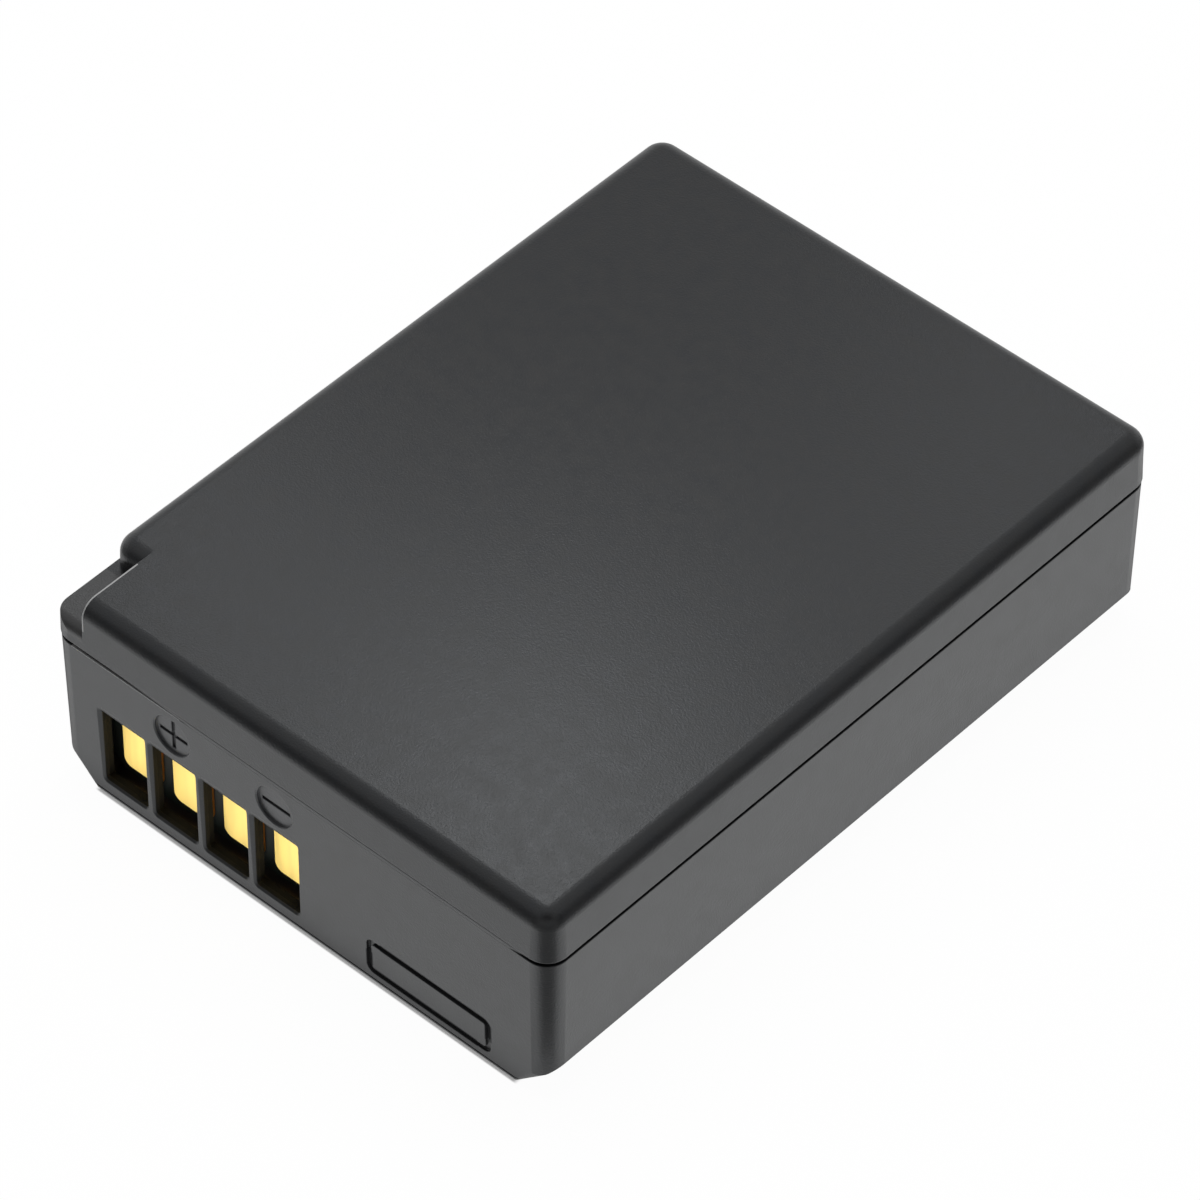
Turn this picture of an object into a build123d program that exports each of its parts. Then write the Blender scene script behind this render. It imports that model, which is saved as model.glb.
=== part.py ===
from build123d import *
import os
from math import radians, sqrt, tan

os.makedirs("parts", exist_ok=True)

# Rechargeable camera battery: a flat two-part plastic housing, welded at a seam near its top,
# around two sealed prismatic cells and a circuit board that stands behind the contact windows.
# X runs across the width, Y along the length with the contacts at the -Y end, Z is up, and the
# origin is the centre of the underside.

# Overall size of the pack
length = 49.0
width = 36.3
height = 14.4

# Housing
wall = 1.0
floor_wall = 1.0
roof_wall = 1.0
cover_height = 3.38
seam_gap = 0.3
seam_lip = 0.03
case_draft = 0.85
cover_draft = 1.6
corner_radius = 1.35
inner_corner_radius = 0.6
chamfer_size = 2.45
foot_edge_radius = 0.4
foot_line_width = 0.1
foot_line_depth = 0.08
cover_edge_radius = 1.03

# Welded tongue and rebate at the seam
case_lip_wall = 0.5
tongue_height = 0.9
tongue_clearance = 0.05

# Keying rebate at the left front corner of the cover
notch_width = 2.48
notch_length = 4.56
notch_depth = 2.05
notch_edge_radius = 0.6

# Contact windows in the front wall
window_count = 4
window_pitch = 3.8
window_width = 3.24
window_bottom = 1.32
land_above_window = 3.7
first_window_from_side = 5.0
window_rim_depth = 0.42
window_relief = 0.12
window_corner_radius = 0.25
window_edge_bevel = 0.16

# Polarity marks: shallow discs with an engraved sign
mark_diameter = 2.6
mark_depth = 0.18
mark_edge_bevel = 0.07
mark_offset = 0.15
sign_length = 2.05
sign_width = 0.24
sign_depth = 0.14

# Rounded rectangle outlined by a groove, low on the right of the front wall
frame_width = 8.95
frame_height = 2.6
frame_from_side = 4.3
frame_bottom = 0.92
frame_groove = 0.36
frame_groove_depth = 0.18
frame_corner_radius = 0.5
frame_inner_radius = 0.19

# Gilded contacts on the circuit board
contact_recess = 1.3
contact_side_gap = 0.16
contact_sill_gap = 0.45
contact_thickness = 0.3
contact_corner_radius = 0.7
contact_edge_bevel = 0.14
tab_width = 1.2
tab_thickness = 0.4
tab_inset = 0.7
tab_clearance = 0.05

# Circuit board
board_thickness = 0.8
board_side_gap = 0.25
board_top_gap = 0.35
stop_width = 0.8

# Spacer frame between the board and the cells
spacer_gap = 0.2
spacer_wall = 0.9
spacer_roof_gap = 0.3
paper_thickness = 0.15
paper_margin = 0.25
paper_hole_gap = 0.3

# Cells and what holds them
tape_thickness = 0.15
foam_thickness = 0.4
cell_side_gap = 0.55
cell_front_gap = 0.05
cell_back_gap = 0.8
cell_end_bevel = 0.4
terminal_diameter = 3.0
terminal_height = 0.6
gasket_diameter = 4.0
gasket_height = 0.3
weld_pad_width = 4.4
weld_pad_height = 3.0
weld_pad_inset = 5.1
rib_width = 1.0
rib_clearance = 0.1
rib_pitch = 14.0
rib_count = 3
vent_length = 4.0
vent_width = 1.6
vent_depth = 0.1
tape_inset = 3.7
foam_inset = 1.7

# Nickel strips
strip_thickness = 0.15
strip_width = 2.4
strip_foot = 1.6

# Parts soldered to the back of the board: how far across, how high and how deep each body is
protection_chip_body = (1.7, 3.0, 1.1)
switch_transistor_body = (4.4, 3.0, 1.05)
sense_resistor_body = (2.5, 1.6, 0.6)
chip_fuse_body = (2.0, 1.25, 0.6)
temperature_sensor_body = (2.0, 1.25, 0.85)
chip_resistor_body = (1.6, 0.8, 0.45)
chip_capacitor_body = (1.6, 0.8, 0.8)
part_gap = 0.45
row_gap = 0.15
chip_resistor_count = 4
chip_capacitor_count = 3
protection_chip_lead = 0.65
protection_leads_per_side = 3
switch_transistor_lead = 1.0
switch_leads_per_side = 4
protection_lead_pitch = 0.95
switch_lead_pitch = 0.65
lead_width = 0.32
lead_thickness = 0.15
chip_lift = 0.1
chip_bevel = 0.12
end_cap = 0.35
end_cap_swell = 0.03

# Derived housing places
case_height = height - cover_height - seam_gap
case_half_x = width / 2 - seam_lip
case_half_y = length / 2 - seam_lip
inner_half_x = case_half_x - wall
inner_half_y = case_half_y - wall
draft_slope = tan(radians(case_draft))
cover_bottom = case_height + seam_gap
rebate_floor = case_height - tongue_height
roof_inside = height - roof_wall
side_foot_x = case_half_x - (case_height - chamfer_size) * draft_slope
inner_chamfer = side_foot_x - chamfer_size - wall * sqrt(2)
notch_x = -width / 2 + notch_width
notch_y = -length / 2 + notch_length
notch_z = height - notch_depth

# Derived places of the windows, contacts and board
window_top = case_height - land_above_window
window_height = window_top - window_bottom
window_mid = window_bottom + window_height / 2
window_x = [
    -width / 2 + first_window_from_side + i * window_pitch for i in range(window_count)
]
window_face_y = -case_half_y + (case_height - window_mid) * draft_slope
contact_front_y = window_face_y + contact_recess
board_front_y = contact_front_y + contact_thickness
board_back_y = board_front_y + board_thickness
board_top = rebate_floor - board_top_gap
contact_width = window_width - 2 * contact_side_gap
contact_height = window_height - 2 * contact_sill_gap
tab_pitch = contact_height - 2 * tab_inset - tab_thickness
mark_z = (window_top + case_height) / 2

# Derived places of the cells
cell_front_y = notch_y + wall + cell_front_gap + paper_thickness
cell_back_y = inner_half_y - cell_back_gap
cell_length = cell_back_y - cell_front_y
cell_thickness = (roof_inside - floor_wall - 2 * tape_thickness - foam_thickness) / 2
cell_width = 2 * (inner_half_x - cell_side_gap)
cell_low_z = floor_wall + tape_thickness + cell_thickness / 2
cell_high_z = cell_low_z + cell_thickness + tape_thickness
cell_flat_width = cell_width - cell_thickness
cell_mid_y = (cell_front_y + cell_back_y) / 2
stack_mid_z = (cell_low_z + cell_high_z) / 2
weld_pad_offset = cell_width / 2 - weld_pad_inset
strip_plane_y = cell_front_y - terminal_height


def inner_outline(gap, top):
    """Corner points of the inside of the case, seen from the front, drawn in by a gap."""
    side = inner_half_x - gap
    slant = inner_chamfer - gap * sqrt(2)
    bottom = floor_wall
    return [
        (-slant - bottom, bottom),
        (slant + bottom, bottom),
        (side, side - slant),
        (side, top),
        (-side, top),
        (-side, side - slant),
    ]


def front_plane(y):
    """Upright sketch plane at a place along Y that looks towards -Y."""
    return Plane.XZ.offset(-y)


# Inner space of the case, cut from its solid
with BuildPart() as case_space:
    with BuildSketch(Plane.XZ):
        Polygon(*inner_outline(0, height), align=None)
    extrude(amount=inner_half_y, both=True)
    fillet(case_space.edges().filter_by(Axis.Z), inner_corner_radius)

# Lower case: a tray with leaning walls, rounded upright corners and bevelled long edges
with BuildPart() as lower_case:
    with BuildSketch(Plane.XY.offset(case_height)):
        Rectangle(2 * case_half_x, 2 * case_half_y)
    extrude(amount=-case_height, taper=case_draft)
    with BuildSketch(Plane.XZ):
        Polygon(
            (-width / 2, case_height),
            (-width / 2, chamfer_size + width / 2 - side_foot_x),
            (-side_foot_x + chamfer_size, 0),
            (side_foot_x - chamfer_size, 0),
            (width / 2, chamfer_size - side_foot_x + width / 2),
            (width / 2, case_height),
            align=None,
        )
    extrude(amount=length, both=True, mode=Mode.INTERSECT)

    # Softer edges along the foot of both end walls
    foot_edges = ShapeList()
    for end_wall in (lower_case.faces().sort_by(Axis.Y)[0], lower_case.faces().sort_by(Axis.Y)[-1]):
        foot_edges += end_wall.edges().filter_by(lambda e: e.center().Z < chamfer_size)
    fillet(foot_edges, foot_edge_radius)
    with BuildSketch(Plane.XY.offset(case_height)):
        RectangleRounded(2 * case_half_x, 2 * case_half_y, corner_radius)
    extrude(amount=-case_height, taper=case_draft, mode=Mode.INTERSECT)

    # Inside, and the rebate that takes the tongue of the cover
    add(case_space.part, mode=Mode.SUBTRACT)
    with BuildSketch(Plane.XY.offset(rebate_floor)):
        RectangleRounded(
            2 * (case_half_x - case_lip_wall),
            2 * (case_half_y - case_lip_wall),
            corner_radius - case_lip_wall,
        )
    extrude(amount=2 * tongue_height, mode=Mode.SUBTRACT)

    # Contact windows: a thin rim outside, a slightly larger opening behind it
    with BuildSketch(front_plane(-length / 2)):
        with Locations(*[(x, window_mid) for x in window_x]):
            RectangleRounded(window_width, window_height, window_corner_radius)
    extrude(amount=-2 * wall, mode=Mode.SUBTRACT)
    window_lead_y = -case_half_y + land_above_window * draft_slope
    window_cone = window_face_y - window_lead_y + window_edge_bevel
    with BuildSketch(front_plane(window_lead_y)):
        with Locations(*[(x, window_mid) for x in window_x]):
            RectangleRounded(
                window_width + 2 * window_cone,
                window_height + 2 * window_cone,
                window_corner_radius + window_cone,
            )
    extrude(amount=-window_cone, taper=45, mode=Mode.SUBTRACT)
    with BuildSketch(front_plane(window_face_y + window_rim_depth)):
        with Locations(*[(x, window_mid) for x in window_x]):
            Rectangle(window_width + 2 * window_relief, window_height + 2 * window_relief)
    extrude(amount=-wall, mode=Mode.SUBTRACT)

    # Fine line along the foot of the front wall
    foot_line_z = foot_edge_radius + foot_line_width / 2
    foot_line_y = -case_half_y + (case_height - foot_line_z) * draft_slope + foot_line_depth
    with BuildSketch(front_plane(foot_line_y)):
        with Locations((0, foot_line_z)):
            Rectangle(width, foot_line_width)
    extrude(amount=length, mode=Mode.SUBTRACT)

    # Ribs that carry the board and stop it short of the front wall
    with BuildSketch(front_plane(board_front_y)):
        with Locations((window_x[-1] + window_pitch / 2 + stop_width, window_mid)):
            Rectangle(stop_width, window_height)
        for side in (-1, 1):
            with Locations((side * (inner_half_x - stop_width), window_mid + stop_width)):
                Rectangle(2 * stop_width, window_height)
    extrude(amount=board_front_y + case_half_y - case_lip_wall)

    # Upright ribs that centre the cells between the side walls
    rib_reach = cell_side_gap - rib_clearance
    rib_height = rebate_floor - (inner_half_x - inner_chamfer)
    for side in (-1, 1):
        with BuildSketch(Plane.XY.offset(rebate_floor)):
            with Locations((side * (inner_half_x - rib_reach / 2), 0)):
                with GridLocations(1, rib_pitch, 1, rib_count):
                    Rectangle(rib_reach, rib_width)
        extrude(amount=-rib_height)

    # Polarity marks above the second and the last window
    mark_face_y = -case_half_y + (case_height - mark_z) * draft_slope
    mark_places = [(window_x[1] + mark_offset, mark_z), (window_x[-1] + mark_offset, mark_z)]
    with BuildSketch(front_plane(-length / 2)):
        with Locations(*mark_places):
            Circle(mark_diameter / 2)
    extrude(amount=-(mark_face_y + length / 2 + mark_depth), mode=Mode.SUBTRACT)
    mark_cone = mark_face_y + case_half_y + mark_edge_bevel
    with BuildSketch(front_plane(-case_half_y)):
        with Locations(*mark_places):
            Circle(mark_diameter / 2 + mark_cone)
    extrude(amount=-mark_cone, taper=45, mode=Mode.SUBTRACT)
    with BuildSketch(front_plane(mark_face_y + mark_depth)):
        with Locations(*mark_places):
            Rectangle(sign_length, sign_width)
        with Locations(mark_places[0]):
            Rectangle(sign_width, sign_length)
    extrude(amount=-sign_depth, mode=Mode.SUBTRACT)

    # Grooved outline of a rounded rectangle
    frame_x = width / 2 - frame_from_side - frame_width / 2
    frame_z = frame_bottom + frame_height / 2
    frame_face_y = -case_half_y + (case_height - frame_z) * draft_slope
    with BuildSketch(front_plane(-length / 2)):
        with Locations((frame_x, frame_z)):
            RectangleRounded(frame_width, frame_height, frame_corner_radius)
            RectangleRounded(
                frame_width - 2 * frame_groove,
                frame_height - 2 * frame_groove,
                frame_inner_radius,
                mode=Mode.SUBTRACT,
            )
    extrude(amount=-(frame_face_y + length / 2 + frame_groove_depth), mode=Mode.SUBTRACT)
lower_case.part.label = "lower_case"
export_step(lower_case.part, "parts/lower_case.step")

# Lower step of the cover, whose top is the ledge of the keying rebate, rounded over at the front
step_lean = (notch_z - cover_bottom) * tan(radians(cover_draft))
with BuildPart() as cover_step:
    with BuildSketch(Plane.XY.offset(cover_bottom)):
        RectangleRounded(width, length, corner_radius)
    extrude(amount=notch_z - cover_bottom, taper=cover_draft)
    with BuildSketch(Plane.YZ) as step_side:
        Polygon(
            (-length / 2, cover_bottom),
            (length / 2, cover_bottom),
            (length / 2 - step_lean, notch_z),
            (step_lean - length / 2, notch_z),
            align=None,
        )
        fillet(step_side.vertices().sort_by(Axis.Y)[-2:], notch_edge_radius)
    extrude(amount=width, both=True, mode=Mode.INTERSECT)

# Part of the cover behind the rebate, with its own rounded front corner
with BuildPart() as cover_back:
    with BuildSketch(Plane.XY.offset(cover_bottom)):
        with Locations((0, notch_length / 2)):
            RectangleRounded(width, length - notch_length, corner_radius)
    extrude(amount=height - cover_bottom, taper=cover_draft)
    fillet(cover_back.faces().sort_by(Axis.Z)[-1].edges(), cover_edge_radius)

# Upper cover: a shallow lid with rounded top edges and a keying rebate at its left front corner
with BuildPart() as upper_cover:
    with BuildSketch(Plane.XY.offset(cover_bottom)):
        RectangleRounded(width, length, corner_radius)
    extrude(amount=height - cover_bottom, taper=cover_draft)
    fillet(upper_cover.faces().sort_by(Axis.Z)[-1].edges(), cover_edge_radius)
    with BuildSketch(Plane.XY.offset(cover_bottom)):
        with Locations((notch_x, 0)):
            Rectangle(width, 2 * length, align=(Align.MAX, Align.CENTER))
    extrude(amount=height, mode=Mode.SUBTRACT)
    add(cover_back.part)
    add(cover_step.part)

    # Inside of the lid, which keeps its wall around the rebate
    with BuildSketch(Plane.XY.offset(cover_bottom)):
        RectangleRounded(2 * inner_half_x, 2 * inner_half_y, inner_corner_radius)
    extrude(amount=notch_z - wall - cover_bottom, mode=Mode.SUBTRACT)
    with BuildSketch(Plane.XY.offset(notch_z - wall)):
        RectangleRounded(2 * inner_half_x, 2 * inner_half_y, inner_corner_radius)
        with Locations((notch_x + wall, notch_y + wall)):
            Rectangle(width, length, align=(Align.MAX, Align.MAX), mode=Mode.SUBTRACT)
    extrude(amount=roof_inside - notch_z + wall, mode=Mode.SUBTRACT)

    # Tongue that stands in the rebate of the case
    with BuildSketch(Plane.XY.offset(rebate_floor)):
        RectangleRounded(
            2 * (case_half_x - case_lip_wall - tongue_clearance),
            2 * (case_half_y - case_lip_wall - tongue_clearance),
            corner_radius - case_lip_wall - tongue_clearance,
        )
        RectangleRounded(2 * inner_half_x, 2 * inner_half_y, inner_corner_radius, mode=Mode.SUBTRACT)
    extrude(amount=cover_bottom - rebate_floor)
upper_cover.part.label = "upper_cover"
export_step(upper_cover.part, "parts/upper_cover.step")

# Gilded contacts: rounded plates on the board, each with two tabs through it
contact_names = ["contact_plus", "contact_data", "contact_sense", "contact_minus"]
for contact_name, x in zip(contact_names, window_x):
    with BuildPart() as contact:
        with BuildSketch(front_plane(board_front_y)):
            with Locations((x, window_mid)):
                RectangleRounded(contact_width, contact_height, contact_corner_radius)
        extrude(amount=contact_thickness)
        chamfer(contact.faces().sort_by(Axis.Y)[0].edges(), contact_edge_bevel)
        with BuildSketch(front_plane(board_back_y)):
            with Locations((x, window_mid)):
                with GridLocations(1, tab_pitch, 1, 2):
                    Rectangle(tab_width, tab_thickness)
        extrude(amount=board_thickness)
    contact.part.label = contact_name
    export_step(contact.part, f"parts/{contact_name}.step")

# Circuit board, upright behind the front wall, with slots for the contact tabs
with BuildPart() as circuit_board:
    with BuildSketch(front_plane(board_front_y)):
        Polygon(*inner_outline(board_side_gap, board_top), align=None)
        with Locations(*[(x, window_mid) for x in window_x]):
            with GridLocations(1, tab_pitch, 1, 2):
                Rectangle(
                    tab_width + 2 * tab_clearance,
                    tab_thickness + 2 * tab_clearance,
                    mode=Mode.SUBTRACT,
                )
    extrude(amount=-board_thickness)
circuit_board.part.label = "circuit_board"
export_step(circuit_board.part, "parts/circuit_board.step")


def moulded_chip(x, z, body, leads, lead_pitch, lead_reach):
    """Moulded chip on the back of the board, with bent leads along its left and right sides."""
    across, high, deep = body
    top_y = board_back_y + deep / 2 + lead_thickness
    foot_y = board_back_y + lead_thickness
    with BuildPart() as chip:
        with BuildSketch(front_plane(board_back_y + chip_lift)):
            with Locations((x, z)):
                Rectangle(across, high)
        extrude(amount=chip_lift - deep)
        chamfer(chip.faces().sort_by(Axis.Y)[-1].edges(), chip_bevel)
        for row in range(leads):
            lead_z = z + (row - (leads - 1) / 2) * lead_pitch - lead_width / 2
            for side in (-1, 1):
                root = x + side * across / 4
                knee = x + side * (across + lead_reach) / 2
                toe = x + side * (across / 2 + lead_reach)
                shin = knee + side * lead_thickness
                with BuildSketch(Plane.XY.offset(lead_z)):
                    Polygon(
                        (root, top_y),
                        (shin, top_y),
                        (shin, foot_y),
                        (toe, foot_y),
                        (toe, board_back_y),
                        (knee, board_back_y),
                        (knee, top_y - lead_thickness),
                        (root, top_y - lead_thickness),
                        align=None,
                    )
                extrude(amount=lead_width)
    return chip.part


def end_capped_chips(places, body):
    """Small parts on the back of the board, each with slightly proud metal ends left and right."""
    across, high, deep = body
    with BuildPart() as chips:
        with BuildSketch(front_plane(board_back_y)):
            with Locations(*places):
                Rectangle(across - 2 * end_cap, high - 2 * end_cap_swell)
        extrude(amount=end_cap_swell - deep)
        with BuildSketch(front_plane(board_back_y)):
            with Locations(*places):
                with GridLocations(across - end_cap, 1, 2, 1):
                    Rectangle(end_cap, high)
        extrude(amount=-deep)
    return chips.part


# Places on the board: a lower row beside the negative strip, and an upper row along the top edge
lower_row_z = floor_wall + spacer_wall + row_gap + protection_chip_body[1] / 2
upper_row_top = board_top - row_gap
strip_side = strip_width / 2 + part_gap
protection_x = strip_side + protection_chip_body[0] / 2 + protection_chip_lead
transistor_x = (
    protection_x
    + protection_chip_body[0] / 2
    + protection_chip_lead
    + part_gap
    + switch_transistor_lead
    + switch_transistor_body[0] / 2
)
sense_x = strip_side + sense_resistor_body[0] / 2
fuse_x = sense_x + sense_resistor_body[0] / 2 + part_gap + chip_fuse_body[0] / 2
sensor_x = weld_pad_offset + strip_side + temperature_sensor_body[0] / 2
resistor_z = upper_row_top - chip_resistor_body[1] / 2
resistor_x = strip_side - weld_pad_offset + chip_resistor_body[0] / 2
resistor_pitch = chip_resistor_body[0] + part_gap
capacitor_z = resistor_z - chip_resistor_body[1] / 2 - part_gap - chip_capacitor_body[1] / 2

# Parts of the protection circuit
board_parts = {
    "protection_chip": moulded_chip(
        protection_x,
        lower_row_z,
        protection_chip_body,
        protection_leads_per_side,
        protection_lead_pitch,
        protection_chip_lead,
    ),
    "switch_transistor": moulded_chip(
        transistor_x,
        lower_row_z,
        switch_transistor_body,
        switch_leads_per_side,
        switch_lead_pitch,
        switch_transistor_lead,
    ),
    "sense_resistor": end_capped_chips(
        [(sense_x, upper_row_top - sense_resistor_body[1] / 2)], sense_resistor_body
    ),
    "chip_fuse": end_capped_chips([(fuse_x, upper_row_top - chip_fuse_body[1] / 2)], chip_fuse_body),
    "temperature_sensor": end_capped_chips(
        [(sensor_x, upper_row_top - temperature_sensor_body[1] / 2)], temperature_sensor_body
    ),
    "chip_resistors": end_capped_chips(
        [(resistor_x + i * resistor_pitch, resistor_z) for i in range(chip_resistor_count)],
        chip_resistor_body,
    ),
    "chip_capacitors": end_capped_chips(
        [(resistor_x + (i + 1) * resistor_pitch, capacitor_z) for i in range(chip_capacitor_count)],
        chip_capacitor_body,
    ),
}
for part_name, board_part in board_parts.items():
    board_part.label = part_name
    export_step(board_part, f"parts/{part_name}.step")


def end_outline(gap, top):
    """Outline of a piece in front of the cells, relieved under the keying rebate."""
    Polygon(*inner_outline(gap, top), align=None)
    with Locations((notch_x + wall + gap, notch_z - wall - gap)):
        Rectangle(width, height, align=(Align.MAX, Align.MIN), mode=Mode.SUBTRACT)


# Spacer frame that holds the board against its ribs and keeps the cells back
with BuildPart() as board_spacer:
    with BuildSketch(front_plane(board_back_y)):
        end_outline(spacer_gap, roof_inside - spacer_roof_gap)
    extrude(amount=board_back_y - (cell_front_y - paper_thickness))
    with BuildSketch(front_plane(board_back_y)):
        end_outline(spacer_gap, roof_inside - spacer_roof_gap)
        offset(amount=-spacer_wall, kind=Kind.INTERSECTION)
    extrude(amount=board_back_y - (cell_front_y - paper_thickness), mode=Mode.SUBTRACT)
board_spacer.part.label = "board_spacer"
export_step(board_spacer.part, "parts/board_spacer.step")

# Insulating paper on the lids of the cells, with holes for the terminals and weld pads
with BuildPart() as insulating_paper:
    with BuildSketch(front_plane(cell_front_y)):
        end_outline(paper_margin, roof_inside - spacer_roof_gap)
        with Locations((0, cell_low_z), (0, cell_high_z)):
            Circle(gasket_diameter / 2 + paper_hole_gap, mode=Mode.SUBTRACT)
        with Locations((-weld_pad_offset, cell_low_z), (weld_pad_offset, cell_high_z)):
            Rectangle(
                weld_pad_width + 2 * paper_hole_gap,
                weld_pad_height + 2 * paper_hole_gap,
                mode=Mode.SUBTRACT,
            )
    extrude(amount=paper_thickness)
insulating_paper.part.label = "insulating_paper"
export_step(insulating_paper.part, "parts/insulating_paper.step")

# Two prismatic cells, turned so that their weld pads lie on opposite sides
for cell_name, cell_z, turn in (("cell_lower", cell_low_z, -1), ("cell_upper", cell_high_z, 1)):
    with BuildPart() as cell:
        with BuildSketch(front_plane(cell_front_y)):
            with Locations((0, cell_z)):
                SlotOverall(cell_width, cell_thickness)
        extrude(amount=-cell_length)
        chamfer(cell.faces().sort_by(Axis.Y)[-1].edges(), cell_end_bevel)
        with BuildSketch(front_plane(cell_front_y)):
            with Locations((-turn * weld_pad_offset / 2, cell_z)):
                SlotOverall(vent_length, vent_width)
        extrude(amount=-vent_depth, mode=Mode.SUBTRACT)
        with BuildSketch(front_plane(cell_front_y)):
            with Locations((0, cell_z)):
                Circle(gasket_diameter / 2)
        extrude(amount=gasket_height)
        with BuildSketch(front_plane(cell_front_y)):
            with Locations((0, cell_z)):
                Circle(terminal_diameter / 2)
            with Locations((turn * weld_pad_offset, cell_z)):
                Rectangle(weld_pad_width, weld_pad_height)
        extrude(amount=terminal_height)
    cell.part.label = cell_name
    export_step(cell.part, f"parts/{cell_name}.step")


def sheet(inset, bottom, thickness):
    """Flat tape or foam on the flat of a cell, drawn in from its edges."""
    with BuildPart() as layer:
        with BuildSketch(Plane.XY.offset(bottom)):
            with Locations((0, cell_mid_y)):
                Rectangle(cell_flat_width - 2 * inset, cell_length - 2 * inset)
        extrude(amount=thickness)
    return layer.part


# Tapes and foams that hold the cells
sheets = {
    "floor_tape": sheet(tape_inset, floor_wall, tape_thickness),
    "cell_tape": sheet(tape_inset, cell_low_z + cell_thickness / 2, tape_thickness),
    "cover_foam": sheet(foam_inset, cell_high_z + cell_thickness / 2, foam_thickness),
}
for sheet_name, sheet_part in sheets.items():
    sheet_part.label = sheet_name
    export_step(sheet_part, f"parts/{sheet_name}.step")

with BuildPart() as end_foam:
    with BuildSketch(front_plane(cell_back_y)):
        with Locations((0, stack_mid_z)):
            Rectangle(cell_flat_width, cell_high_z - cell_low_z + cell_thickness - 2 * foam_inset)
    extrude(amount=-cell_back_gap)
end_foam.part.label = "end_foam"
export_step(end_foam.part, "parts/end_foam.step")

# Nickel strip that joins the two cells in series, flat against the lid side of both
with BuildPart() as series_strip:
    with BuildSketch(front_plane(strip_plane_y)):
        with Locations((-weld_pad_offset, stack_mid_z)):
            Rectangle(strip_width, cell_high_z - cell_low_z + strip_width)
        with Locations((-weld_pad_offset / 2, cell_high_z)):
            Rectangle(weld_pad_offset + strip_width, strip_width)
    extrude(amount=strip_thickness)
series_strip.part.label = "series_strip"
export_step(series_strip.part, "parts/series_strip.step")


def board_strip(x, plate_y, plate_end, leg_z, foot_end):
    """Strip from a weld at one height, square across to the board, then along it to its foot."""
    turn = 1 if foot_end > leg_z else -1
    with BuildPart() as strip:
        with BuildSketch(Plane.YZ.offset(x)):
            Polygon(
                (plate_y, plate_end),
                (plate_y, leg_z),
                (board_back_y + strip_thickness, leg_z),
                (board_back_y + strip_thickness, foot_end),
                (board_back_y, foot_end),
                (board_back_y, leg_z - turn * strip_thickness),
                (plate_y - strip_thickness, leg_z - turn * strip_thickness),
                (plate_y - strip_thickness, plate_end),
                align=None,
            )
        extrude(amount=strip_width / 2, both=True)
    return strip.part


# Strips from the cells to the board
half_plate = terminal_diameter / 2 - strip_thickness
strips = {
    "positive_strip": board_strip(
        weld_pad_offset,
        strip_plane_y,
        cell_high_z + half_plate,
        cell_high_z - half_plate,
        cell_high_z - half_plate - strip_foot,
    ),
    "negative_strip": board_strip(
        0,
        strip_plane_y,
        cell_low_z - half_plate,
        cell_low_z + half_plate,
        cell_low_z + half_plate + strip_foot,
    ),
    "middle_strip": board_strip(
        -weld_pad_offset,
        strip_plane_y - strip_thickness,
        stack_mid_z - strip_foot,
        stack_mid_z,
        stack_mid_z + strip_foot,
    ),
}
for strip_name, strip_part in strips.items():
    strip_part.label = strip_name
    export_step(strip_part, f"parts/{strip_name}.step")
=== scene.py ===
import math

import bmesh
import bpy
from mathutils import Matrix, Vector


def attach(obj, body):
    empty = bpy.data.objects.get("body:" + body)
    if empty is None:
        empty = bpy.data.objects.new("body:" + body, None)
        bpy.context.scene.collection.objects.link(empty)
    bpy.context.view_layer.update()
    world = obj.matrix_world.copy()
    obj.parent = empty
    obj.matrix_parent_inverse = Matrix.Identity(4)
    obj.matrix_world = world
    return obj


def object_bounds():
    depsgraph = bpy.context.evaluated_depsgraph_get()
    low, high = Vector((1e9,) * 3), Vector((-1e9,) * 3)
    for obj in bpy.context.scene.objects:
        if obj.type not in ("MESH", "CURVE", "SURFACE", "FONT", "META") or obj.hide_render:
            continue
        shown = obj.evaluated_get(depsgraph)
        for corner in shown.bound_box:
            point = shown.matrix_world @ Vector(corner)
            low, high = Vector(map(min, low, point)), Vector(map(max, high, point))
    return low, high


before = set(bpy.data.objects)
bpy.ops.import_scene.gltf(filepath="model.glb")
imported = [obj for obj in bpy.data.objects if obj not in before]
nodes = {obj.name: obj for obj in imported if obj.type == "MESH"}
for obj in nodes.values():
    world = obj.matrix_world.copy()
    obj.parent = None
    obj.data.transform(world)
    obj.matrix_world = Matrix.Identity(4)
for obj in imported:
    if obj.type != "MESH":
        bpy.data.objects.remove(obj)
size_at_load = [list(corner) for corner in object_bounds()]
scene = bpy.context.scene
mm = 0.001

# Camera, at the photograph's place: a long lens that looks down on the contact end and the right
# side. The place is measured from the centre of the pack's underside.
view_azimuth = math.radians(41.98)
view_elevation = math.radians(45.96)
view_roll = math.radians(0.35)
view_place = Vector((182.817, -203.755, 290.205)) * mm
lens_mm = 216.24
sensor_mm = 36
nearest_seen = 20 * mm


def direction(azimuth, elevation):
    """Unit vector that points towards -Y at azimuth 0 and towards +X at a quarter turn."""
    return Vector((
        math.sin(azimuth) * math.cos(elevation),
        -math.cos(azimuth) * math.cos(elevation),
        math.sin(elevation),
    ))


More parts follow.
